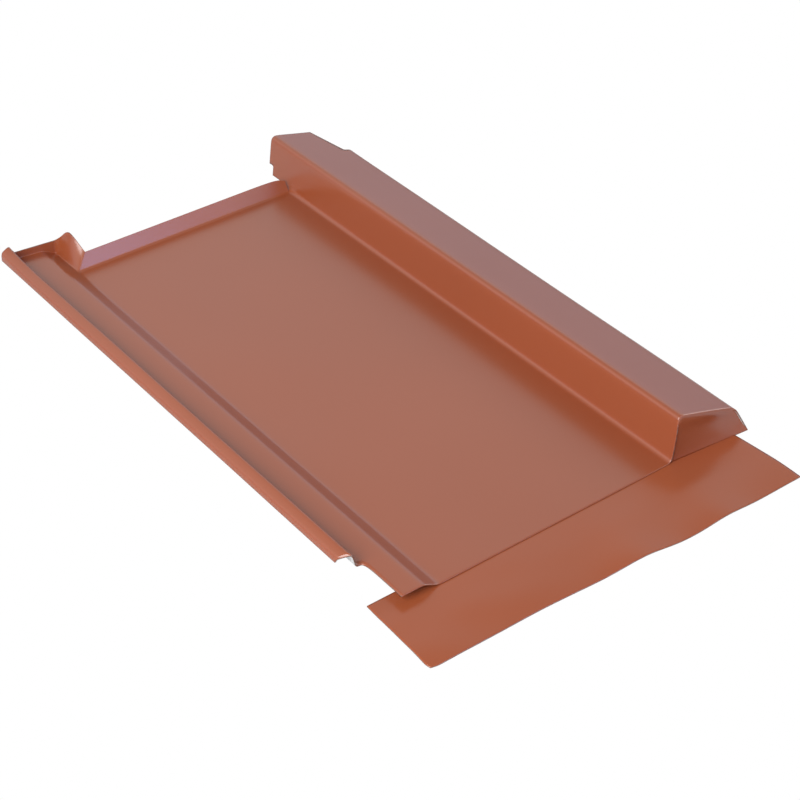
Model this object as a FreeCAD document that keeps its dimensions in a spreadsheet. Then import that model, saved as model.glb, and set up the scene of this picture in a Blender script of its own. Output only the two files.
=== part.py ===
"""A coated sheet-metal roof tile with a soft apron under its front edge, lying on a level floor.

X runs across the tile towards the rib, Y runs up the slope and Z is up. While the pieces are
drawn, x = 0 is the foot of the ramp, y = 0 is the front edge and z = 0 is the floor. The finished
objects are then placed so that the origin is under the middle of the whole.
"""
import FreeCAD, Part
import os
from math import atan2, cos, hypot, pi, sin, tan
import Sketcher

# name, millimetres
SIZES = [
    ("sheet_thickness", 1.0),
    ("sheet_length", 510.0),
    ("bend_radius", 1.5),
    ("pan_width", 208.0),
    ("pan_length", 476.0),
    ("ramp_run", 12.0),
    ("channel_rise", 6.2),
    ("channel_width", 24.0),
    ("channel_front_width", 18.0),
    ("rim_height", 11.8),
    ("rim_lean", 2.6),
    ("rim_width", 11.0),
    ("rim_shoulder", 4.4),
    ("rim_drop", 9.0),
    ("rim_radius", 2.5),
    ("rim_setback", 41.0),
    ("rim_taper", 9.0),
    ("rib_height", 38.0),
    ("rib_lean", 5.0),
    ("rib_top_run", 56.0),
    ("rib_top_fall", 17.0),
    ("rib_foot_flare", 10.0),
    ("rib_radius", 4.0),
    ("rib_tail_width", 40.0),
    ("rib_tail_cut", 42.0),
    ("rib_tail_slant", 13.0),
    ("rib_tail_lift", 12.0),
    ("rib_tail_notch", 18.0),
    ("upstand_height", 11.2),
    ("upstand_lean", 5.2),
    ("upstand_radius", 3.0),
    ("upstand_notch_width", 9.0),
    ("upstand_notch_floor", 8.5),
    ("jog_offset", 1.5),
    ("jog_peak_height", 22.5),
    ("jog_peak_lean", 7.5),
    ("jog_peak_back", 10.0),
    ("flap_seam", 0.5),
    ("apron_thickness", 0.8),
    ("apron_overlap", 12.5),
    ("apron_reach", 66.0),
    ("apron_skew", 8.0),
    ("apron_side", 50.5),
    ("apron_inset", 11.5),
    ("apron_corner", 5.0),
    ("apron_wave", 3.0),
]

# Places that follow from the sizes, as expressions over the sheet.
UNDERSIDE = "sizes.apron_thickness"
CHANNEL_Z = f"{UNDERSIDE} + sizes.channel_rise"
RIM_TOP_Z = f"{CHANNEL_Z} + sizes.rim_height"
CHANNEL_END_X = "-sizes.ramp_run"
RIM_WALL_X = f"{CHANNEL_END_X} - sizes.channel_width"
RIM_CREST_X = f"{RIM_WALL_X} - sizes.rim_lean"
RIM_OUTER_X = f"{RIM_WALL_X} - sizes.rim_width"
RIB_RIDGE_X = "sizes.pan_width + sizes.rib_lean"
RIB_SHOULDER_X = f"{RIB_RIDGE_X} + sizes.rib_top_run"
RIB_FOOT_X = f"{RIB_SHOULDER_X} + sizes.rib_foot_flare"
RIB_RIDGE_Z = f"{UNDERSIDE} + sizes.rib_height"
RIB_SHOULDER_Z = f"{RIB_RIDGE_Z} - sizes.rib_top_fall"
UPSTAND_TOP_Z = f"{UNDERSIDE} + sizes.sheet_thickness + sizes.upstand_height"
UPSTAND_LIP_Y = "sizes.pan_length - sizes.sheet_thickness + sizes.upstand_lean"
JOG_PEAK_Z = f"{UNDERSIDE} + sizes.jog_peak_height"
UPSTAND_FACE_Y = "sizes.pan_length - sizes.sheet_thickness"
UPSTAND_START_Y = f"{UPSTAND_FACE_Y} - sizes.upstand_radius - sizes.sheet_thickness"
JOG_X = "sizes.jog_offset"
CLEAR = 5.0          # how far a cutting tool reaches past what it cuts
APRON_RIPPLES = 2.5  # crests and troughs along the front of the apron

doc = FreeCAD.newDocument("roof_tile")
sheet = doc.addObject("Spreadsheet::Sheet", "sizes")
for row, (name, size) in enumerate(SIZES, start=1):
    sheet.set(f"A{row}", name)
    sheet.set(f"B{row}", str(size))
    sheet.setAlias(f"B{row}", name)
doc.recompute()

# The turn that stands a sketch in each plane, and the axis that a sweep from it follows.
PLANES = {
    "XY": (FreeCAD.Rotation(), "z"),
    "XZ": (FreeCAD.Rotation(FreeCAD.Vector(1, 0, 0), 90), "y"),
    "YZ": (FreeCAD.Rotation(FreeCAD.Vector(1, 1, 1), 120), "x"),
}
AXES = {"x": FreeCAD.Vector(1, 0, 0), "y": FreeCAD.Vector(0, 1, 0), "z": FreeCAD.Vector(0, 0, 1)}


def value(expression):
    """An expression over the sheet as a plain number."""
    return float(sheet.evalExpression(expression))


def new_sketch(name, plane):
    sketch = doc.addObject("Sketcher::SketchObject", name)
    sketch.Placement = FreeCAD.Placement(FreeCAD.Vector(), PLANES[plane][0])
    return sketch


def pin(sketch, geometry, point, corner):
    """Hold one point of a sketch at a corner given by two expressions."""
    for kind, expression in zip(("DistanceX", "DistanceY"), corner):
        index = sketch.addConstraint(Sketcher.Constraint(kind, -1, 1, geometry, point, value(expression)))
        sketch.setExpression(f"Constraints[{index}]", expression)


def polygon(name, plane, corners):
    """A closed outline with straight sides."""
    sketch = new_sketch(name, plane)
    points = [FreeCAD.Vector(value(a), value(b), 0) for a, b in corners]
    count = len(points)
    for index in range(count):
        sketch.addGeometry(Part.LineSegment(points[index], points[(index + 1) % count]), False)
    for index in range(count):
        sketch.addConstraint(Sketcher.Constraint("Coincident", index, 2, (index + 1) % count, 1))
        pin(sketch, index, 1, corners[index])
    return sketch


def folded_line(name, plane, corners, radii):
    """An open line through the corners, with an arc of the given radius at each bend."""
    sketch = new_sketch(name, plane)
    points = [FreeCAD.Vector(value(a), value(b), 0) for a, b in corners]
    starts, ends, arcs = points[:-1], points[1:], []
    for bend, radius in enumerate(radii):
        corner = points[bend + 1]
        back = (points[bend] - corner).normalize()
        ahead = (points[bend + 2] - corner).normalize()
        half = back.getAngle(ahead) / 2
        ends[bend] = corner + back * (value(radius) / tan(half))
        starts[bend + 1] = corner + ahead * (value(radius) / tan(half))
        centre = corner + (back + ahead).normalize() * (value(radius) / sin(half))
        left_turn = back.cross(ahead).z < 0
        first, last = (ends[bend], starts[bend + 1]) if left_turn else (starts[bend + 1], ends[bend])
        angles = [atan2(end.y - centre.y, end.x - centre.x) for end in (first, last)]
        circle = Part.Circle(centre, FreeCAD.Vector(0, 0, 1), value(radius))
        arcs.append((Part.ArcOfCircle(circle, angles[0], angles[1]), (1, 2) if left_turn else (2, 1)))

    lines = [sketch.addGeometry(Part.LineSegment(a, b), False) for a, b in zip(starts, ends)]
    pin(sketch, lines[0], 1, corners[0])
    pin(sketch, lines[-1], 2, corners[-1])
    for bend, (arc, (joins_back, joins_ahead)) in enumerate(arcs):
        before, after = lines[bend], lines[bend + 1]
        curve = sketch.addGeometry(arc, False)
        mark = sketch.addGeometry(Part.Point(points[bend + 1]), True)
        pin(sketch, mark, 1, corners[bend + 1])
        sketch.addConstraint(Sketcher.Constraint("PointOnObject", mark, 1, before))
        sketch.addConstraint(Sketcher.Constraint("PointOnObject", mark, 1, after))
        sketch.addConstraint(Sketcher.Constraint("Tangent", before, 2, curve, joins_back))
        sketch.addConstraint(Sketcher.Constraint("Tangent", after, 1, curve, joins_ahead))
        index = sketch.addConstraint(Sketcher.Constraint("Radius", curve, value(radii[bend])))
        sketch.setExpression(f"Constraints[{index}]", radii[bend])
    return sketch


def sweep(name, face, sketch, plane, start, length):
    """A solid swept from a sketched face along the plane's axis, from a start over a length."""
    axis = PLANES[plane][1]
    sketch.setExpression(f"Placement.Base.{axis}", start)
    solid = doc.addObject("Part::Extrusion", name)
    solid.Base = face
    solid.DirMode = "Custom"
    solid.Dir = AXES[axis]
    solid.Solid = True
    solid.setExpression("LengthFwd", length)
    return solid


def prism(name, plane, corners, start, length):
    outline = polygon(name + "_outline", plane, corners)
    return sweep(name, outline, outline, plane, start, length)


def bent_sheet(name, plane, corners, radii, start, length, side=1):
    """Sheet of one thickness whose lower face follows the folded line."""
    line = folded_line(name + "_line", plane, corners, radii)
    band = doc.addObject("Part::Offset2D", name + "_band")
    band.Source = line
    band.Mode = "Skin"
    band.Fill = True
    band.setExpression("Value", f"{side} * sizes.sheet_thickness")
    return sweep(name, band, line, plane, start, length)


def box(name, low, high):
    """A box between two corners, each given by three expressions."""
    block = doc.addObject("Part::Box", name)
    for axis, side, a, b in zip("xyz", ("Length", "Width", "Height"), low, high):
        block.setExpression(f"Placement.Base.{axis}", a)
        block.setExpression(side, f"({b}) - ({a})")
    return block


def cut(name, base, tools):
    for number, tool in enumerate(tools, start=1):
        trimmed = doc.addObject("Part::Cut", f"{name}_{number}")
        trimmed.Base = base
        trimmed.Tool = tool
        base = trimmed
    return base


def make_long_section():
    """The rim, channel, ramp, pan and rib, bent from one sheet along the whole length."""
    corners = [
        (RIM_OUTER_X, f"{RIM_TOP_Z} - sizes.rim_drop"),
        (RIM_OUTER_X, f"{RIM_TOP_Z} - sizes.rim_shoulder"),
        (RIM_CREST_X, RIM_TOP_Z),
        (RIM_WALL_X, CHANNEL_Z),
        (CHANNEL_END_X, CHANNEL_Z),
        ("0", UNDERSIDE),
        ("sizes.pan_width", UNDERSIDE),
        (RIB_RIDGE_X, RIB_RIDGE_Z),
        (RIB_SHOULDER_X, RIB_SHOULDER_Z),
        (RIB_FOOT_X, "0"),
    ]
    radii = (["sizes.rim_radius"] * 2 + ["sizes.bend_radius"] * 4 + ["sizes.rib_radius"] * 2)
    return bent_sheet("long_section", "XZ", corners, radii, "0", "sizes.sheet_length")


def make_rim_notch():
    """What is trimmed off the rim and the channel's edge at the front."""
    outer = f"{RIM_OUTER_X} - {CLEAR}"
    lip = f"{CHANNEL_END_X} - sizes.channel_front_width"
    return prism("rim_notch", "XY", [
        (outer, f"-{CLEAR}"),
        (lip, f"-{CLEAR}"),
        (lip, "sizes.rim_setback"),
        (RIM_CREST_X, "sizes.rim_setback"),
        (RIM_OUTER_X, "sizes.rim_setback + sizes.rim_taper"),
        (outer, "sizes.rim_setback + sizes.rim_taper"),
    ], "0", "sizes.rib_height")


def make_rib_tail_cut():
    """What is trimmed off the low side of the rib at the head."""
    outer = f"{RIB_FOOT_X} + {CLEAR}"
    inner = "sizes.pan_width + sizes.rib_tail_width"
    return prism("rib_tail_cut", "XY", [
        (inner, f"sizes.sheet_length + {CLEAR}"),
        (inner, "sizes.sheet_length"),
        (f"{inner} + sizes.rib_tail_slant", "sizes.sheet_length - sizes.rib_tail_cut"),
        (outer, "sizes.sheet_length - sizes.rib_tail_cut"),
        (outer, f"sizes.sheet_length + {CLEAR}"),
    ], f"-{CLEAR}", f"sizes.rib_height + {2 * CLEAR}")


def make_head_gap():
    """The boxes that clear the sheet behind the pan's upstand and notch the rib's tall side."""
    below, beyond = f"{UNDERSIDE} - {CLEAR}", f"sizes.sheet_length + {CLEAR}"
    bend = box("upstand_bend_gap",
               (JOG_X, UPSTAND_START_Y, below),
               ("sizes.pan_width", beyond, f"{UNDERSIDE} + {CLEAR}"))
    notch = box("rib_foot_notch",
                (JOG_X, "sizes.sheet_length - sizes.rib_tail_notch", below),
                (RIB_RIDGE_X, beyond, f"{UNDERSIDE} + sizes.rib_tail_lift"))
    return [bend, notch]


def make_upstand():
    """The wall bent up along the head of the pan, notched down to its foot beside the rib."""
    corners = [
        (UPSTAND_START_Y, UNDERSIDE),
        (UPSTAND_FACE_Y, UNDERSIDE),
        (UPSTAND_LIP_Y, UPSTAND_TOP_Z),
    ]
    wall = bent_sheet("upstand", "YZ", corners, ["sizes.upstand_radius"], JOG_X,
                      f"sizes.pan_width - ({JOG_X})", side=-1)
    notch = prism("upstand_notch", "XZ", [
        ("sizes.pan_width - sizes.upstand_notch_width", UPSTAND_TOP_Z),
        ("sizes.pan_width", f"{UNDERSIDE} + sizes.upstand_notch_floor"),
        (f"sizes.pan_width + {CLEAR}", f"{UNDERSIDE} + sizes.upstand_notch_floor"),
        (f"sizes.pan_width + {CLEAR}", f"{UPSTAND_TOP_Z} + {CLEAR}"),
        ("sizes.pan_width - sizes.upstand_notch_width", f"{UPSTAND_TOP_Z} + {CLEAR}"),
    ], UPSTAND_START_Y, f"sizes.sheet_length - ({UPSTAND_START_Y})")
    beside_jog = prism("upstand_mitre", "XZ", [
        (f"{JOG_X} - {CLEAR}", UNDERSIDE),
        (JOG_X, UNDERSIDE),
        (f"{JOG_X} + sizes.jog_peak_lean", JOG_PEAK_Z),
        (f"{JOG_X} - {CLEAR}", JOG_PEAK_Z),
    ], UPSTAND_FACE_Y, f"sizes.sheet_length - ({UPSTAND_FACE_Y})")
    return cut("upstand_trimmed", wall, [notch, beside_jog])


def make_jog_wall():
    """The wall that joins the pan's upstand to the channel's, leaning out and drawn up to a peak."""
    wall = prism("jog_band", "XZ", [
        (f"{JOG_X} - sizes.sheet_thickness", UNDERSIDE),
        (JOG_X, UNDERSIDE),
        (f"{JOG_X} + sizes.jog_peak_lean", JOG_PEAK_Z),
        (f"{JOG_X} + sizes.jog_peak_lean - sizes.sheet_thickness", JOG_PEAK_Z),
    ], UPSTAND_START_Y, f"sizes.sheet_length - ({UPSTAND_START_Y})")
    outline = prism("jog_outline", "YZ", [
        (UPSTAND_START_Y, UNDERSIDE),
        ("sizes.sheet_length", UNDERSIDE),
        ("sizes.sheet_length", UPSTAND_TOP_Z),
        ("sizes.sheet_length - sizes.jog_peak_back", JOG_PEAK_Z),
        (UPSTAND_LIP_Y, UPSTAND_TOP_Z),
        (UPSTAND_FACE_Y, f"{UNDERSIDE} + sizes.sheet_thickness"),
        (UPSTAND_START_Y, f"{UNDERSIDE} + sizes.sheet_thickness"),
    ], f"-{CLEAR}", f"{JOG_X} + sizes.jog_peak_lean + {2 * CLEAR}")
    wall_in_outline = doc.addObject("Part::Common", "jog_wall")
    wall_in_outline.Base = wall
    wall_in_outline.Tool = outline
    return wall_in_outline


def make_channel_wall():
    """The wall that closes the channel at the head, as high as the pan's upstand."""
    return prism("channel_wall", "XZ", [
        (RIM_WALL_X, CHANNEL_Z),
        (CHANNEL_END_X, CHANNEL_Z),
        ("0", UNDERSIDE),
        (JOG_X, UNDERSIDE),
        (f"{JOG_X} + sizes.jog_peak_lean * ({UPSTAND_TOP_Z} - {UNDERSIDE}) / sizes.jog_peak_height",
         UPSTAND_TOP_Z),
        (RIM_WALL_X, UPSTAND_TOP_Z),
    ], "sizes.sheet_length - sizes.sheet_thickness", "sizes.sheet_thickness")


def make_end_flap():
    """The flap folded down from the top of the rib to close its front, with a seam at each side."""
    return prism("end_flap", "XZ", [
        ("sizes.pan_width + sizes.flap_seam", UNDERSIDE),
        (f"{RIB_FOOT_X} - sizes.flap_seam - sizes.sheet_thickness", UNDERSIDE),
        (f"{RIB_SHOULDER_X} - sizes.flap_seam", RIB_SHOULDER_Z),
        (f"{RIB_RIDGE_X} + sizes.flap_seam", RIB_RIDGE_Z),
    ], "0", "sizes.sheet_thickness")


def make_tile_sheet():
    trimmed = cut("trimmed", make_long_section(), [make_rim_notch(), make_rib_tail_cut()] + make_head_gap())
    tile = doc.addObject("Part::MultiFuse", "tile")
    tile.Shapes = [trimmed, make_upstand(), make_jog_wall(), make_channel_wall(), make_end_flap()]
    tile.Refine = True
    tile.Label = "tile_sheet"
    return tile


def clamped(count, degree):
    """Knots and their multiplicities for a spline that ends on its first and last pole."""
    inner = count - degree - 1
    return list(range(inner + 2)), [degree + 1] + [1] * inner + [degree + 1]


def make_apron():
    """The soft sheet under the front edge: flat where the tile lies on it, rippled in front."""
    left, right = -value("sizes.apron_side"), value(f"{RIB_FOOT_X} - sizes.apron_inset")
    back, front = value("sizes.apron_overlap"), -value("sizes.apron_reach")
    thickness, wave = value(UNDERSIDE), value("sizes.apron_wave")
    columns, rows, degree = 17, 5, 3
    poles = []
    for column in range(columns):
        across = column / (columns - 1)
        ripple = (1 - cos(2 * pi * APRON_RIPPLES * across)) / 2
        lifts = [0, 0] + [wave * ripple * (row / (rows - 1)) for row in range(2, rows)]
        poles.append([FreeCAD.Vector(left + (right - left) * across, front * row / (rows - 1),
                                     thickness + lift) for row, lift in enumerate(lifts)])
    surface = Part.BSplineSurface()
    (u_knots, u_mults), (v_knots, v_mults) = clamped(columns, degree), clamped(rows, degree)
    surface.buildFromPolesMultsKnots(poles, u_mults, v_mults, u_knots, v_knots,
                                     False, False, degree, degree)
    slab = surface.toShape().extrude(FreeCAD.Vector(0, 0, -thickness))
    strip = Part.makeBox(right - left, back, thickness, FreeCAD.Vector(left, 0, 0))

    low, high = -CLEAR, thickness + wave + CLEAR
    corners = [FreeCAD.Vector(x, y, low) for x, y in
               ((left, back), (left, front + value("sizes.apron_skew")), (right, front), (right, back))]
    blank = Part.Face(Part.makePolygon(corners + corners[:1])).extrude(FreeCAD.Vector(0, 0, high - low))
    turned = [edge for edge in blank.Edges
              if all(hypot(vertex.X - left, vertex.Y - corners[1].y) < thickness / 10
                     for vertex in edge.Vertexes)]
    blank = blank.makeFillet(value("sizes.apron_corner"), turned)

    apron = doc.addObject("Part::Feature", "apron")
    apron.Shape = slab.fuse(strip).common(blank)
    apron.Label = "apron"
    return apron


def place(piece):
    """Bring the piece to the frame whose origin is under the middle of the whole."""
    piece.setExpression("Placement.Base.x", f"(sizes.apron_side - ({RIB_FOOT_X})) / 2")
    piece.setExpression("Placement.Base.y", "(sizes.apron_reach - sizes.sheet_length) / 2")


def main():
    pieces = [make_tile_sheet(), make_apron()]
    for piece in pieces:
        place(piece)
    doc.recompute()
    for item in doc.Objects:
        if "Invalid" in item.State or "Error" in item.State:
            raise RuntimeError(f"{item.Name} failed: {item.State}")
    os.makedirs("parts", exist_ok=True)
    for piece in pieces:
        shape = piece.Shape
        if shape.isNull() or not shape.isValid() or len(shape.Solids) != 1:
            raise RuntimeError(f"{piece.Label} is not one sound solid")
        print(piece.Label, "volume", round(shape.Volume), "mm3", shape.BoundBox)
        shape.exportStep(f"parts/{piece.Label}.step")


main()
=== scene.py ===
"""A coated sheet-metal roof tile with a soft apron, laid out as an add-on.

Lengths are in metres. The tile is drawn from the foot of its ramp (x = 0), its front edge (y = 0)
and the painted face of its pan (z = 0), and is then moved to its place in the frame.
"""
from math import cos, exp, pi, radians, sin

import bmesh
import bpy
from bpy.props import FloatProperty, FloatVectorProperty, PointerProperty
from mathutils import Matrix, Vector, noise


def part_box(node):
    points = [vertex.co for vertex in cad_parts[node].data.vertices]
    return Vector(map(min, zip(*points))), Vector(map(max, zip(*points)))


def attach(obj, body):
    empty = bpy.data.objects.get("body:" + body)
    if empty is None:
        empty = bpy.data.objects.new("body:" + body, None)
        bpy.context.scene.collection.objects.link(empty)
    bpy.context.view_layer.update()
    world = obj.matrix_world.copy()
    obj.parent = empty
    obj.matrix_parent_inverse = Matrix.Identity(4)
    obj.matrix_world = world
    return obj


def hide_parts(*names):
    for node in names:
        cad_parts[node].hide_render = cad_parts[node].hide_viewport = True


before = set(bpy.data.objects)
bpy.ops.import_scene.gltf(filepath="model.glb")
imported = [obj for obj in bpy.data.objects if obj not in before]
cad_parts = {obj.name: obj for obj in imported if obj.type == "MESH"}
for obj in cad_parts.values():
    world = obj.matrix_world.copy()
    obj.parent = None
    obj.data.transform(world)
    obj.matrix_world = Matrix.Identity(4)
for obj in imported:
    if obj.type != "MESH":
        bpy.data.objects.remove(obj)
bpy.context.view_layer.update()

bl_info = {
    "name": "Metal Roof Tile",
    "version": (1, 0, 0),
    "blender": (4, 5, 0),
    "location": "3D View > Sidebar > Roof Tile",
    "description": "Builds a coated sheet-metal roof tile, its soft apron and a plain studio",
    "category": "Object",
}

TINY = 1e-5

# Width of each rounded fold of the section, from the rim's outer side to the rib's shoulder.
BEND_WIDTHS = (0.0024, 0.0028, 0.0020, 0.0022, 0.0022, 0.0030, 0.0052, 0.0040)
# Lengthwise cuts of the pan, as shares of its width.
PAN_COLUMNS = (0.08, 0.22, 0.36, 0.5, 0.64, 0.78)
# How high each row of a drawn wall stands, as a share of the wall.
WALL_ROWS = (0.12, 0.3, 0.6, 0.92, 1.0)
FLAP_ROWS = (0.06, 0.14, 0.32, 0.6, 0.85, 1.0)
ROW_COUNT = 18
# Length at the head over which the sheet is pulled out of true.
HEAD_REACH = 0.060


def length(name, description, default):
    return FloatProperty(name=name, description=description, default=default, min=0.0,
                         precision=4, unit="LENGTH", subtype="DISTANCE")


def colour(name, description, default):
    return FloatVectorProperty(name=name, description=description, default=default, size=3,
                               min=0.0, max=1.0, subtype="COLOR")


class TileSizes(bpy.types.PropertyGroup):
    """Sizes of the pressed sheet, as it is bent."""

    thickness: length("Thickness", "Sheet thickness", 0.001)
    pan_width: length("Pan width", "From the foot of the ramp to the foot of the rib", 0.208)
    pan_length: length("Pan length", "From the front edge to the head upstand", 0.474)
    sheet_length: length("Sheet length", "From the front edge to the end of the rib", 0.510)
    ramp_run: length("Ramp run", "Width of the ramp beside the pan", 0.012)
    channel_rise: length("Channel rise", "Height of the side channel above the pan", 0.0062)
    channel_width: length("Channel width", "Width of the side channel's floor", 0.024)
    lip_width: length("Lip width", "Width of the channel's floor in front of the rim", 0.018)
    rim_height: length("Rim height", "Height of the rim above the channel", 0.0118)
    rim_lean: length("Rim lean", "How far the rim's inner wall leans out", 0.0026)
    rim_width: length("Rim width", "Width of the rim", 0.011)
    rim_shoulder: length("Rim shoulder", "Fall from the rim's crest to its outer side", 0.0044)
    rim_drop: length("Rim drop", "Fall from the rim's crest to its free edge", 0.009)
    rim_setback: length("Rim setback", "How far behind the front edge the rim starts", 0.041)
    rim_taper: length("Rim taper", "How far its outer side starts behind its crest", 0.009)
    rib_height: length("Rib height", "Height of the rib's ridge above the pan", 0.038)
    rib_lean: length("Rib lean", "How far the rib's tall side leans in", 0.005)
    rib_top_run: length("Rib top width", "Width of the rib's sloping top", 0.056)
    rib_top_fall: length("Rib top fall", "Fall of the rib's top from ridge to shoulder", 0.017)
    rib_twist: length("Rib twist", "How much more the rib's top falls in front than behind", 0.0034)
    rib_foot_flare: length("Rib foot flare", "How far the low side spreads to its foot", 0.010)
    rib_tail_width: length("Rib tail width", "Width of the rib that reaches the head", 0.045)
    rib_tail_cut: length("Rib tail cut", "How far the low side stops short of the head", 0.042)
    rib_tail_slant: length("Rib tail slant", "How far that cut slants across the top", 0.008)
    rib_tail_lift: length("Rib tail lift", "Height of the notch in the tall side's back end", 0.012)
    rib_tail_notch: length("Rib tail notch", "Length of that notch", 0.006)
    tail_spring: length("Tail spring", "Rise of the free corner of the rib's back end", 0.0008)
    upstand_height: length("Upstand height", "Height of the wall at the head of the pan", 0.0112)
    upstand_lean: length("Upstand lean", "How far that wall leans back", 0.0078)
    notch_width: length("Upstand notch", "Length of its slope down beside the rib", 0.009)
    notch_floor: length("Notch floor", "What is left of its height against the rib", 0.0085)
    peak_height: length("Peak height", "Height of the drawn peak above the pan", 0.0245)
    peak_lean: length("Peak lean", "How far the peak leans over the pan's side", 0.0075)
    peak_back: length("Peak distance", "How far in front of the head the peak stands", 0.010)
    corner_reach: length("Corner reach", "How far the upstand's rounded corner leans in", 0.0117)
    head_skew: length("Head skew", "How much longer the sheet is at the rim than at the pan", 0.0042)
    rim_flare: length("Rim flare", "How far the rim's back end is raised", 0.0028)


class ApronSizes(bpy.types.PropertyGroup):
    """Sizes of the soft apron."""

    thickness: length("Thickness", "Sheet thickness", 0.0008)
    skew: length("Skew", "How much further the front edge reaches at the right", 0.0072)
    buckle: length("Buckle", "Height of the buckle in the front edge", 0.0034)
    rise: length("Rise", "How far the apron bows up between the tile and its front edge", 0.0044)
    taper: length("Taper", "How much wider than its block the apron is in front, and narrower behind", 0.0035)
    corner: length("Corner", "Rounding of the left front corner", 0.005)


class TileFinish(bpy.types.PropertyGroup):
    """Colours and gloss of the sheet."""

    paint: colour("Paint", "Copper brown top coat", (0.30, 0.070, 0.024))
    primer: colour("Primer", "Pale grey coat of the underside", (0.52, 0.52, 0.51))
    metal: colour("Bare edge", "Cut edge of the sheet", (0.30, 0.24, 0.20))
    gloss: FloatProperty(name="Roughness", description="Roughness of the top coat",
                         default=0.26, min=0.0, max=1.0, subtype="FACTOR")


class StudioSettings(bpy.types.PropertyGroup):
    """Where the camera stands, and the light."""

    azimuth: FloatProperty(name="Azimuth", description="Turn of the camera about the vertical",
                           default=radians(-36.54), subtype="ANGLE", unit="ROTATION")
    elevation: FloatProperty(name="Elevation", description="Height of the camera as an angle",
                             default=radians(36.72), subtype="ANGLE", unit="ROTATION")
    roll: FloatProperty(name="Roll", description="Tilt of the camera about its own axis",
                        default=radians(-0.8), subtype="ANGLE", unit="ROTATION")
    distance: length("Distance", "From the camera to the middle of the view", 1.434)
    focal: FloatProperty(name="Focal length", description="In millimetres on a 36 mm sensor",
                         default=87.6, min=10.0, max=300.0, unit="CAMERA")
    key: FloatProperty(name="Key light", description="Power of the large soft lamp",
                       default=54.0, min=0.0, unit="POWER")
    front: FloatProperty(name="Front light", description="Power of the low lamp in front",
                         default=6.0, min=0.0, unit="POWER")
    fill: FloatProperty(name="Fill light", description="Power of the weak lamp at the right",
                        default=5.5, min=0.0, unit="POWER")
    room: FloatProperty(name="Room light", description="Strength of the room's own soft light",
                        default=0.60, min=0.0)


GROUPS = {"tile_sizes": TileSizes, "apron_sizes": ApronSizes, "tile_finish": TileFinish,
          "studio_settings": StudioSettings}


def tile_origin():
    """Place of the ramp's foot, on the front edge and the painted face of the pan."""
    size = bpy.context.scene.tile_sizes
    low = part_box("tile_sheet")[0]
    left = size.ramp_run + size.channel_width + size.rim_width + size.thickness
    return Vector((low[0] + left, low[1], bpy.context.scene.apron_sizes.thickness + size.thickness))


# ---------------------------------------------------------------- materials

def new_material(name):
    """A material with only a surface shader and an output."""
    material = bpy.data.materials.new(name)
    material.use_nodes = True
    tree = material.node_tree
    shader = tree.nodes["Principled BSDF"]
    return material, tree, shader


def object_noise(tree, scale, detail):
    """Noise over the piece's own coordinates."""
    coordinates = tree.nodes.new("ShaderNodeTexCoord")
    pattern = tree.nodes.new("ShaderNodeTexNoise")
    pattern.inputs["Scale"].default_value = scale
    pattern.inputs["Detail"].default_value = detail
    tree.links.new(coordinates.outputs["Object"], pattern.inputs["Vector"])
    return pattern.outputs["Fac"]


def remap(tree, value, low, high):
    """Noise stretched over a range of plain numbers."""
    node = tree.nodes.new("ShaderNodeMapRange")
    node.inputs["From Min"].default_value = 0.3
    node.inputs["From Max"].default_value = 0.7
    node.inputs["To Min"].default_value = low
    node.inputs["To Max"].default_value = high
    tree.links.new(value, node.inputs["Value"])
    return node.outputs["Result"]


def shade_between(tree, value, dark, light):
    """A colour between two, chosen by noise."""
    ramp = tree.nodes.new("ShaderNodeValToRGB")
    ramp.color_ramp.elements[0].position = 0.3
    ramp.color_ramp.elements[1].position = 0.7
    ramp.color_ramp.elements[0].color = (*dark, 1.0)
    ramp.color_ramp.elements[1].color = (*light, 1.0)
    tree.links.new(value, ramp.inputs["Fac"])
    return ramp.outputs["Color"]


def paint_material(name, index, level):
    """Coil-coated top coat: even semi-gloss paint, at a level of the finish's colour."""
    finish = bpy.context.scene.tile_finish
    material, tree, shader = new_material(name)
    tone = object_noise(tree, 6.0, 1.0)
    paint = Vector(finish.paint) * level
    colour_out = shade_between(tree, tone, paint * 0.98, paint * 1.02)
    tree.links.new(colour_out, shader.inputs["Base Color"])
    wear = object_noise(tree, 14.0, 1.0)
    tree.links.new(remap(tree, wear, finish.gloss - 0.006, finish.gloss + 0.010),
                   shader.inputs["Roughness"])
    shader.inputs["IOR"].default_value = index
    return material


def primer_material():
    """Thin pale backing coat of the underside."""
    primer = Vector(bpy.context.scene.tile_finish.primer)
    material, tree, shader = new_material("tile_primer")
    tone = object_noise(tree, 25.0, 4.0)
    tree.links.new(shade_between(tree, tone, primer * 0.93, primer), shader.inputs["Base Color"])
    shader.inputs["Roughness"].default_value = 0.5
    return material


def edge_material():
    """Bare metal of the cut edge, dulled by smears of paint."""
    finish = bpy.context.scene.tile_finish
    material, tree, shader = new_material("tile_cut_edge")
    smear = object_noise(tree, 160.0, 3.0)
    colour_out = shade_between(tree, smear, Vector(finish.paint), Vector(finish.metal))
    tree.links.new(colour_out, shader.inputs["Base Color"])
    shader.inputs["Metallic"].default_value = 0.6
    shader.inputs["Roughness"].default_value = 0.35
    return material


# ---------------------------------------------------------------- mesh tools

def near(a, b):
    return abs(a - b) < TINY


def between(value, low, high):
    return low - TINY < value < high + TINY


def everything(bm):
    return bm.verts[:] + bm.edges[:] + bm.faces[:]


def slice_across(bm, axis, places, faces=None):
    """Cut the sheet with planes square to an axis, so that it can bend or be trimmed there."""
    normal = Vector((0.0, 0.0, 0.0))
    normal[axis] = 1.0
    for place in places:
        geometry = everything(bm)
        if faces:
            kept = [face for face in bm.faces if faces(face.calc_center_median())]
            geometry = kept + list({edge for face in kept for edge in face.edges})
            geometry += list({vert for face in kept for vert in face.verts})
        bmesh.ops.bisect_plane(bm, geom=geometry, dist=TINY, plane_co=normal * place, plane_no=normal)


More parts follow.
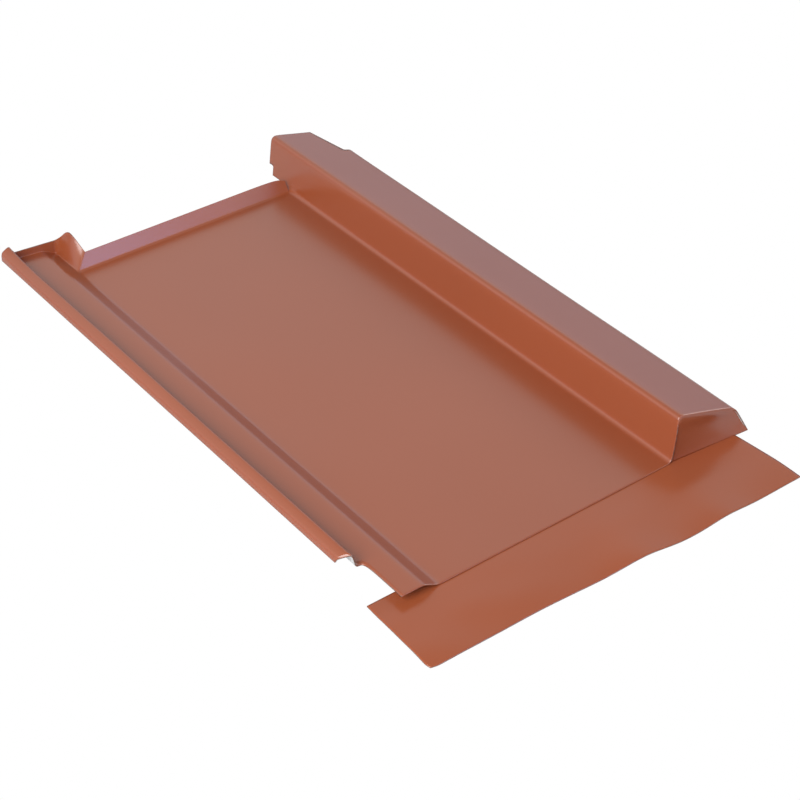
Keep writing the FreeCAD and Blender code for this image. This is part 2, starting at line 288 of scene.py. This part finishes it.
def remove_faces(bm, wanted):
    """Trim away the faces whose middle answers to a test."""
    doomed = [face for face in bm.faces if wanted(face.calc_center_median())]
    bmesh.ops.delete(bm, geom=doomed, context="FACES")


def bend_strip(bm, corners, sheet_length, bends):
    """A strip folded through the corners, each fold rounded over its own width."""
    line = [bm.verts.new((x, 0.0, z)) for x, z in corners]
    edges = [bm.edges.new(pair) for pair in zip(line, line[1:])]
    swept = bmesh.ops.extrude_edge_only(bm, edges=edges)["geom"]
    moved = [item for item in swept if isinstance(item, bmesh.types.BMVert)]
    bmesh.ops.translate(bm, verts=moved, vec=(0.0, sheet_length, 0.0))
    for (x, z), width in zip(corners[1:-1], bends):
        fold = [edge for edge in bm.edges if len(edge.link_faces) == 2
                and all(near(vert.co.x, x) and near(vert.co.z, z) for vert in edge.verts)]
        bmesh.ops.bevel(bm, geom=fold, offset=width, offset_type="OFFSET", segments=3,
                        profile=0.5, affect="EDGES", clamp_overlap=True, material=-1)


def sweep_wall(bm, ring, shares, place):
    """Extrude a row of free edges step by step; place gives a corner's spot from where it began."""
    roots = {vert: vert.co.copy() for edge in ring for vert in edge.verts}
    for share in shares:
        swept = bmesh.ops.extrude_edge_only(bm, edges=ring)["geom"]
        raised = {item for item in swept if isinstance(item, bmesh.types.BMVert)}
        began = {}
        for vert in raised:
            parent = next(edge.other_vert(vert) for edge in vert.link_edges
                          if edge.other_vert(vert) not in raised)
            began[vert] = roots[parent]
        for vert, root in began.items():
            vert.co = place(root, share)
        roots = began
        ring = [item for item in swept if isinstance(item, bmesh.types.BMEdge)
                and all(vert in raised for vert in item.verts)]


def finish_piece(bm, name, materials, thickness, node):
    """Turn the sheet's face into a finished piece with thickness, smooth bends and its paint."""
    bmesh.ops.recalc_face_normals(bm, faces=bm.faces[:])
    if sum(face.normal.z * face.calc_area() for face in bm.faces) < 0:
        bmesh.ops.reverse_faces(bm, faces=bm.faces[:])
    for face in bm.faces:
        face.smooth = True
    mesh = bpy.data.meshes.new(name)
    bm.to_mesh(mesh)
    bm.free()
    for material in materials:
        mesh.materials.append(material)
    piece = bpy.data.objects.new(name, mesh)
    bpy.context.scene.collection.objects.link(piece)

    smooth = piece.modifiers.new("Smooth bends", "SUBSURF")
    smooth.levels = smooth.render_levels = 2
    smooth.boundary_smooth = "PRESERVE_CORNERS"
    solid = piece.modifiers.new("Sheet thickness", "SOLIDIFY")
    solid.thickness = thickness
    solid.offset = -1.0
    solid.material_offset = 1
    solid.material_offset_rim = 2

    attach(piece, "root")
    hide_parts(node)
    return piece


# ---------------------------------------------------------------- the pressed sheet

def section_corners(size):
    """The folds of the tile's section from the rim's free edge to the rib's foot."""
    rise, wall = size.channel_rise, -size.ramp_run - size.channel_width
    crest = rise + size.rim_height
    outer = wall - size.rim_width
    ridge = size.pan_width + size.rib_lean
    shoulder = ridge + size.rib_top_run
    floor = -bpy.context.scene.apron_sizes.thickness - size.thickness
    foot = floor + 0.5 * size.thickness
    return [
        (outer, crest - size.rim_drop),
        (outer, crest - size.rim_shoulder),
        (wall - size.rim_lean, crest),
        (wall, rise),
        (-size.ramp_run, rise),
        (0.0, 0.0),
        (size.pan_width, 0.0),
        (ridge, size.rib_height),
        (shoulder, size.rib_height - size.rib_top_fall),
        (shoulder + size.rib_foot_flare, foot),
    ]


def make_section(bm, size):
    """The folded strip at its full length, cut lengthwise where it is later trimmed or bent."""
    bend_strip(bm, section_corners(size), size.sheet_length, BEND_WIDTHS)
    wall = -size.ramp_run - size.channel_width
    tail = size.pan_width + size.rib_tail_width + size.rib_tail_slant
    slice_across(bm, 0, [-size.ramp_run - size.lip_width])
    slice_across(bm, 0, [wall / 2.0 + 0.004 - size.ramp_run / 2.0])
    pan_columns = [size.pan_width * share for share in PAN_COLUMNS]
    notch = size.pan_width - size.notch_width
    slice_across(bm, 0, pan_columns + [notch, (notch + size.pan_width) / 2.0])
    slice_across(bm, 0, [size.pan_width + 0.022, size.pan_width + 0.038, tail])
    flank = lambda centre: between(centre.x, size.pan_width + 0.0001, size.pan_width + size.rib_lean)
    slice_across(bm, 2, [0.006, size.rib_tail_lift - 0.002, size.rib_tail_lift, 0.022], flank)


def slice_rows(bm, size):
    """Rows along the tile, closer together where something is trimmed or bent."""
    tail = size.sheet_length - size.rib_tail_cut
    special = [0.003, 0.008, size.rim_setback, size.rim_setback + size.rim_taper + 0.009,
               tail, size.pan_length - 0.003, size.pan_length, size.pan_length + 0.005,
               size.pan_length + 0.013, size.sheet_length - size.peak_back,
               size.sheet_length - size.rib_tail_notch, size.sheet_length - 0.006,
               size.sheet_length - 0.003]
    start = size.rim_setback + size.rim_taper + 0.009
    end = tail - 0.012
    regular = [start + (end - start) * step / ROW_COUNT for step in range(1, ROW_COUNT + 1)]
    slice_across(bm, 1, special + [0.021] + regular)


def trim_rim(bm, size):
    """Clear the rim in front of its setback and cut its outer side at a slant."""
    lip = -size.ramp_run - size.lip_width
    remove_faces(bm, lambda c: c.x < lip and c.y < size.rim_setback)
    crest_x = -size.ramp_run - size.channel_width - size.rim_lean
    for vert in bm.verts:
        if near(vert.co.y, size.rim_setback) and vert.co.x < crest_x:
            share = min((crest_x - vert.co.x) / (size.rim_width - size.rim_lean), 1.0)
            drop = (size.channel_rise + size.rim_height - vert.co.z) / size.rim_drop
            vert.co.y += size.rim_taper * min(0.5 * (share + drop), 1.0)


def trim_rib_tail(bm, size):
    """Cut the low side of the rib short of the head, and slant the cut across its top."""
    start = size.sheet_length - size.rib_tail_cut
    edge = size.pan_width + size.rib_tail_width + size.rib_tail_slant
    remove_faces(bm, lambda c: c.x > edge and c.y > start)
    slope = size.rib_top_fall / size.rib_top_run
    for vert in bm.verts:
        if near(vert.co.x, edge) and vert.co.y > start + TINY:
            shift = size.rib_tail_slant * (vert.co.y - start) / size.rib_tail_cut
            vert.co.x -= shift
            vert.co.z += shift * slope


def trim_head(bm, size):
    """Clear the sheet behind the pan, and notch the foot of the rib's tall side at the back."""
    notch = size.sheet_length - size.rib_tail_notch
    inside = size.pan_width + size.rib_lean
    fold_end = size.pan_length + 0.013
    pan_top, fold_top = 0.0006, 0.0027
    remove_faces(bm, lambda c: c.y > size.pan_length and 0.0 < c.x < inside
                 and (c.z < pan_top or c.y > fold_end and c.z < fold_top
                      or c.y > notch and c.z < size.rib_tail_lift))


def head_lip(foot, size):
    """Where the top of the drawn wall stands over a point of its foot."""
    rise = size.upstand_height
    end_rise, end_lean = rise + 0.0012, 0.0014
    if foot.y > size.sheet_length - TINY:
        lean = end_lean if foot.x > -TINY else 0.0
        return Vector((foot.x + lean, foot.y, end_rise))
    corner = Vector((size.corner_reach, size.pan_length + size.upstand_lean, rise))
    if foot.x > 0.001:
        into_notch = (foot.x - size.pan_width + size.notch_width) / (size.notch_width - 0.003)
        into_notch = min(max(into_notch, 0.0), 1.0)
        height = rise * (1.0 - into_notch) + size.notch_floor * into_notch
        corner_run = 0.060
        shift = size.corner_reach * max(1.0 - foot.x / corner_run, 0.0) ** 2
        back = size.upstand_lean * height / rise
        return Vector((foot.x + shift, foot.y + back, height))
    peak = Vector((size.peak_lean, size.sheet_length - size.peak_back, size.peak_height))
    if foot.y < peak.y:
        return corner.lerp(peak, (foot.y - size.pan_length) / (peak.y - size.pan_length))
    end = Vector((end_lean, size.sheet_length, end_rise))
    return peak.lerp(end, (foot.y - peak.y) / size.peak_back)


def head_edges(bm, size):
    """The free edges of the floor that the head's wall stands on, round the jog."""
    wall = -size.ramp_run - size.channel_width
    fold = 0.001
    found = []
    for edge in bm.edges:
        if len(edge.link_faces) != 1:
            continue
        a, b = (vert.co for vert in edge.verts)
        low, high = min(a.x, b.x), max(a.x, b.x)
        at_end = near(a.y, size.sheet_length) and near(b.y, size.sheet_length)
        at_pan = near(a.y, size.pan_length) and near(b.y, size.pan_length)
        behind_pan = min(a.y, b.y) > size.pan_length - TINY
        if at_end and low > wall - TINY and high < fold \
                or at_pan and low > -fold and high < size.pan_width + TINY \
                or behind_pan and near(low, high) and between(low, -fold, fold):
            found.append(edge)
    return found


def raise_head_walls(bm, size):
    """Bend up the upstand, the jog beside it and the channel's end as one drawn wall."""
    sweep_wall(bm, head_edges(bm, size), WALL_ROWS,
               lambda foot, share: foot.lerp(head_lip(foot, size), share))


def turn_front_lip(bm, size):
    """Turn the front edge of the pan and the channel sharply down, just short of the apron."""
    crease = bm.edges.layers.float.new("crease_edge")
    ring = [edge for edge in bm.edges if len(edge.link_faces) == 1
            and all(near(vert.co.y, 0.0) and vert.co.x < size.pan_width
                    and (vert.co.z < 0.0008 or vert.co.x < 0.001) for vert in edge.verts)]
    for edge in ring:
        edge[crease] = 1.0
    turn = Vector((0.0, -0.0003, -0.6 * size.thickness))
    sweep_wall(bm, ring, (1.0,), lambda root, share: root + turn * share)


def rib_inside(height, size):
    """The rib's inner width at a height over the pan: its left and right limits."""
    clearance = size.thickness + 0.0002
    ridge = size.pan_width + size.rib_lean
    shoulder = ridge + size.rib_top_run
    shoulder_z = size.rib_height - size.rib_top_fall
    left = size.pan_width + size.rib_lean * height / size.rib_height + clearance
    right = shoulder + size.rib_foot_flare * max(shoulder_z - height, 0.0) / shoulder_z - clearance
    return left, right


def fold_end_flap(bm, size):
    """Fold the front of the rib's top down over its hollow end, dished a little by hand."""
    ridge = size.pan_width + size.rib_lean
    shoulder_z = size.rib_height - size.rib_top_fall
    ring = [edge for edge in bm.edges if len(edge.link_faces) == 1
            and all(near(vert.co.y, 0.0) and vert.co.x > ridge - 0.0012
                    and vert.co.z > shoulder_z - 0.0015 for vert in edge.verts)]
    tops = {vert for edge in ring for vert in edge.verts}
    low = min(vert.co.x for vert in tops)
    high = max(vert.co.x for vert in tops)
    bottom = -size.thickness
    dish_depth, dent_depth, foot_reach = 0.0022, 0.0024, 0.0065
    fold_drop, fold_back, seam = 0.002, 0.0012, 0.0008

    def place(top, share):
        along = (top.x - low) / (high - low)
        height = (top.z - fold_drop) * (1.0 - share) + bottom * share
        left, right = rib_inside(height, size)
        dish = dish_depth * sin(pi * share) * sin(pi * along)
        dish += dent_depth * noise.noise(Vector((along * 4.0, share * 3.0, 0.5))) * sin(pi * share)
        reach = -foot_reach * along * share ** 1.5
        return Vector((left + (right - left) * along, seam + dish + reach, height))

    for vert in tops:
        vert.co += Vector((0.0, fold_back, 0.0))
    sweep_wall(bm, ring, FLAP_ROWS, place)


def spread_rib_foot(bm, size):
    """The low side's front end reaches forward a little towards its foot."""
    shoulder = size.pan_width + size.rib_lean + size.rib_top_run
    shoulder_z = size.rib_height - size.rib_top_fall
    reach = 0.0048
    for vert in bm.verts:
        if vert.co.x > shoulder + 0.001 and near(vert.co.y, 0.0):
            vert.co.y -= reach * min(max(1.0 - vert.co.z / shoulder_z, 0.0), 1.0)


def pull_head(bm, size):
    """The back end as it is worked: a little longer at the rim, whose edge is raised, and its rib twisted."""
    ridge = size.pan_width + size.rib_lean
    wall = -size.ramp_run - size.channel_width
    level_share, rib_pull = 0.33, 0.0025
    for vert in bm.verts:
        late = min(max((vert.co.y - size.sheet_length + HEAD_REACH) / HEAD_REACH, 0.0), 1.0)
        if vert.co.x < 0.0:
            vert.co.y += size.head_skew * min(vert.co.x / wall, 1.0) * late
            over_edge = vert.co.z - size.channel_rise - size.rim_height + size.rim_drop
            lifted = min(max(over_edge / (size.rim_drop - size.rim_shoulder), 0.0), 1.0)
            if vert.co.x < wall - size.rim_lean + 0.003:
                vert.co.z += size.rim_flare * lifted * late ** 3
        elif vert.co.x > size.pan_width:
            aside = min(max((vert.co.x - ridge) / size.rib_top_run, 0.0), 1.0)
            up = min(max(vert.co.z / (size.rib_height - size.rib_top_fall), 0.0), 1.0)
            turned = vert.co.y / size.sheet_length - level_share
            vert.co.z += size.rib_twist * turned * aside * up + size.tail_spring * aside * late
            vert.co.y -= rib_pull * late


def soften(bm, amount):
    """Hand-worked unevenness: the faces wander by up to a small amount."""
    for vert in bm.verts:
        spot = vert.co
        wander = noise.noise(Vector((spot.x * 22.0, spot.y * 9.0, spot.z * 22.0)))
        if spot.x > 0.0 or spot.z > 0.008:
            vert.co = spot + vert.normal * amount * wander


def make_tile_sheet():
    """Bend, trim and draw the one sheet of the tile, and set it in its place."""
    size = bpy.context.scene.tile_sizes
    bm = bmesh.new()
    make_section(bm, size)
    slice_rows(bm, size)
    trim_rim(bm, size)
    trim_rib_tail(bm, size)
    trim_head(bm, size)
    raise_head_walls(bm, size)
    turn_front_lip(bm, size)
    fold_end_flap(bm, size)
    spread_rib_foot(bm, size)
    pull_head(bm, size)
    bmesh.ops.recalc_face_normals(bm, faces=bm.faces[:])
    bm.normal_update()
    soften(bm, 0.0003)
    bmesh.ops.translate(bm, verts=bm.verts[:], vec=tile_origin())
    materials = [paint_material("tile_top_coat", 1.7, 1.0), primer_material(), edge_material()]
    return finish_piece(bm, "roof_tile_sheet", materials, size.thickness, "tile_sheet")


# ---------------------------------------------------------------- the soft apron

def make_apron():
    """Lay the soft sheet under the tile's front edge, buckled towards its own front."""
    size = bpy.context.scene.apron_sizes
    low, high = (Vector(corner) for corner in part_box("apron"))
    width = high.x - low.x
    front_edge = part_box("tile_sheet")[0][1]
    turn_start, turn_length, wave_height = 0.22, 0.50, 0.0009
    bm = bmesh.new()
    bmesh.ops.create_grid(bm, x_segments=48, y_segments=14, size=0.5)
    for vert in bm.verts:
        across, back = vert.co.x + 0.5, vert.co.y + 0.5
        turn = min(max((across - turn_start) / turn_length, 0.0), 1.0)
        front = low.y + size.skew * (1.0 - turn * turn * (3.0 - 2.0 * turn))
        y = front + (high.y - front) * back
        out = max(front_edge - y, 0.0) / (front_edge - low.y)
        wave = noise.noise(Vector((across * 7.0, back * 2.2, 3.0)))
        lift = size.buckle * buckles(across) * out ** 1.4 + size.rise * out * (1.0 - out)
        lift += wave_height * wave * min(3.0 * out, 1.0)
        spread = size.taper * (across - 0.5) * (1.0 - 2.0 * back)
        vert.co = Vector((low.x + width * across + spread, y, size.thickness + lift))
    round_corner(bm, low.x - size.taper / 2.0, size.corner)
    materials = [paint_material("apron_top_coat", 1.5, 1.08), primer_material(), edge_material()]
    return finish_piece(bm, "soft_apron", materials, size.thickness, "apron")


def buckles(across):
    """Height of the buckles in the apron's front edge: a large one, and a small one beside it."""
    large = exp(-((across - 0.555) / 0.072) ** 2)
    small = exp(-((across - 0.78) / 0.055) ** 2)
    return large + 0.45 * small


def round_corner(bm, left, radius):
    """Draw the left front corner in to a round."""
    front = min(vert.co.y for vert in bm.verts if near(vert.co.x, left))
    centre = Vector((left + radius, front + radius))
    for vert in bm.verts:
        offset = Vector((vert.co.x, vert.co.y)) - centre
        if offset.x < 0.0 and offset.y < 0.0:
            reach = max(-offset.x, -offset.y)
            scale = reach / offset.length
            vert.co.x, vert.co.y = centre + offset * scale


# ---------------------------------------------------------------- studio

def shader_for_backdrop():
    """White to the camera; to the light that falls on the tile a pale grey floor."""
    material, tree, shader = new_material("studio_floor")
    shader.inputs["Base Color"].default_value = (0.72, 0.72, 0.72, 1.0)
    shader.inputs["Roughness"].default_value = 0.9
    glow = tree.nodes.new("ShaderNodeEmission")
    glow.inputs["Color"].default_value = (1.0, 1.0, 1.0, 1.0)
    path = tree.nodes.new("ShaderNodeLightPath")
    mix = tree.nodes.new("ShaderNodeMixShader")
    output = tree.nodes["Material Output"]
    tree.links.new(path.outputs["Is Camera Ray"], mix.inputs["Fac"])
    tree.links.new(shader.outputs["BSDF"], mix.inputs[1])
    tree.links.new(glow.outputs["Emission"], mix.inputs[2])
    tree.links.new(mix.outputs["Shader"], output.inputs["Surface"])
    return material


def make_floor():
    """A wide flat floor under the tile."""
    bm = bmesh.new()
    bmesh.ops.create_grid(bm, x_segments=1, y_segments=1, size=6.0)
    mesh = bpy.data.meshes.new("studio_floor")
    bm.to_mesh(mesh)
    bm.free()
    mesh.materials.append(shader_for_backdrop())
    floor = bpy.data.objects.new("studio_floor", mesh)
    bpy.context.scene.collection.objects.link(floor)


def make_world():
    """Plain white to the camera; to everything else a pale room with cooler, dimmer walls."""
    world = bpy.data.worlds.new("studio_world")
    world.use_nodes = True
    tree = world.node_tree
    room = tree.nodes["Background"]
    coordinates = tree.nodes.new("ShaderNodeTexCoord")
    split = tree.nodes.new("ShaderNodeSeparateXYZ")
    shade = tree.nodes.new("ShaderNodeValToRGB")
    stops = shade.color_ramp.elements
    stops[0].position = 0.0
    stops[0].color = (0.16, 0.16, 0.18, 1.0)
    stops[1].position = 0.78
    stops[1].color = (0.40, 0.41, 0.43, 1.0)
    stops.new(0.16).color = (0.74, 0.80, 0.98, 1.0)
    stops.new(0.48).color = (1.0, 1.0, 1.0, 1.0)
    stops.new(0.65).color = (0.98, 1.0, 1.0, 1.0)
    tree.links.new(coordinates.outputs["Generated"], split.inputs["Vector"])
    tree.links.new(split.outputs["Z"], shade.inputs["Fac"])
    tree.links.new(shade.outputs["Color"], room.inputs["Color"])
    path = tree.nodes.new("ShaderNodeLightPath")
    level = tree.nodes.new("ShaderNodeMapRange")
    level.inputs["To Min"].default_value = bpy.context.scene.studio_settings.room
    level.inputs["To Max"].default_value = 1.08
    tree.links.new(path.outputs["Is Glossy Ray"], level.inputs["Value"])
    tree.links.new(level.outputs["Result"], room.inputs["Strength"])
    white = tree.nodes.new("ShaderNodeBackground")
    white.inputs["Color"].default_value = (1.0, 1.0, 1.0, 1.0)
    white.inputs["Strength"].default_value = 1.0
    mix = tree.nodes.new("ShaderNodeMixShader")
    tree.links.new(path.outputs["Is Camera Ray"], mix.inputs["Fac"])
    tree.links.new(room.outputs["Background"], mix.inputs[1])
    tree.links.new(white.outputs["Background"], mix.inputs[2])
    tree.links.new(mix.outputs["Shader"], tree.nodes["World Output"].inputs["Surface"])
    bpy.context.scene.world = world


def add_lamp(name, place, target, width, height, power, tint=(1.0, 1.0, 1.0)):
    """A rectangular soft lamp turned towards a target."""
    light = bpy.data.lights.new(name, "AREA")
    light.color = tint
    light.shape = "RECTANGLE"
    light.size, light.size_y = width, height
    light.energy = power
    lamp = bpy.data.objects.new(name, light)
    turn = (target - place).to_track_quat("-Z", "Y").to_matrix().to_4x4()
    lamp.matrix_world = Matrix.Translation(place) @ turn
    bpy.context.scene.collection.objects.link(lamp)


def make_camera(target):
    """The scene's camera, at a turn, a height and a distance from its target."""
    studio = bpy.context.scene.studio_settings
    az, el = studio.azimuth, studio.elevation
    away = Vector((sin(az) * cos(el), -cos(az) * cos(el), sin(el)))
    camera = bpy.data.cameras.new("studio_camera")
    camera.lens = studio.focal
    camera.sensor_width = 36.0
    body = bpy.data.objects.new("studio_camera", camera)
    look = (-away).to_track_quat("-Z", "Y").to_matrix().to_4x4()
    roll = Matrix.Rotation(studio.roll, 4, "Z")
    body.matrix_world = Matrix.Translation(target + away * studio.distance) @ look @ roll
    bpy.context.scene.collection.objects.link(body)
    bpy.context.scene.camera = body


def make_studio():
    """The floor, the room's light, the camera and three lamps."""
    studio = bpy.context.scene.studio_settings
    middle = Vector((0.0, 0.0, 0.0))
    make_floor()
    make_world()
    make_camera(tile_origin() + Vector((0.1014, 0.1760, 0.0)))
    add_lamp("key_lamp", Vector((-1.66, -0.66, 1.26)), middle, 1.6, 1.6, studio.key)
    add_lamp("front_lamp", Vector((0.62, -1.64, 1.12)), middle, 0.55, 0.6, studio.front,
             (0.25, 0.47, 1.0))
    add_lamp("fill_lamp", Vector((1.7, -0.2, 0.85)), middle, 1.0, 0.6, studio.fill)
    bpy.context.scene.view_settings.view_transform = "Standard"


# ---------------------------------------------------------------- operators and panel

class ROOFTILE_OT_tile_sheet(bpy.types.Operator):
    """Bend and trim the pressed sheet of the tile"""
    bl_idname = "rooftile.tile_sheet"
    bl_label = "Tile Sheet"

    def execute(self, context):
        make_tile_sheet()
        return {"FINISHED"}


class ROOFTILE_OT_apron(bpy.types.Operator):
    """Lay the soft apron under the tile's front edge"""
    bl_idname = "rooftile.apron"
    bl_label = "Soft Apron"

    def execute(self, context):
        make_apron()
        return {"FINISHED"}


class ROOFTILE_OT_studio(bpy.types.Operator):
    """Set up the pale floor, the soft light and the camera"""
    bl_idname = "rooftile.studio"
    bl_label = "Studio"

    def execute(self, context):
        make_studio()
        return {"FINISHED"}


class ROOFTILE_PT_sidebar(bpy.types.Panel):
    """One button for each piece and for the studio, and all their sizes"""
    bl_label = "Roof Tile"
    bl_idname = "ROOFTILE_PT_sidebar"
    bl_space_type = "VIEW_3D"
    bl_region_type = "UI"
    bl_category = "Roof Tile"

    def draw(self, context):
        for operator in OPERATORS:
            self.layout.operator(operator.bl_idname)
        for group, kind in GROUPS.items():
            box = self.layout.box()
            for name in kind.__annotations__:
                box.prop(getattr(context.scene, group), name)


OPERATORS = (ROOFTILE_OT_tile_sheet, ROOFTILE_OT_apron, ROOFTILE_OT_studio)
CLASSES = tuple(GROUPS.values()) + OPERATORS + (ROOFTILE_PT_sidebar,)


def register():
    for kind in CLASSES:
        bpy.utils.register_class(kind)
    for name, kind in GROUPS.items():
        setattr(bpy.types.Scene, name, PointerProperty(type=kind))


def unregister():
    for name in GROUPS:
        delattr(bpy.types.Scene, name)
    for kind in reversed(CLASSES):
        bpy.utils.unregister_class(kind)


def main():
    register()
    bpy.ops.rooftile.tile_sheet()
    bpy.ops.rooftile.apron()
    bpy.ops.rooftile.studio()


if __name__ == "__main__":
    main()
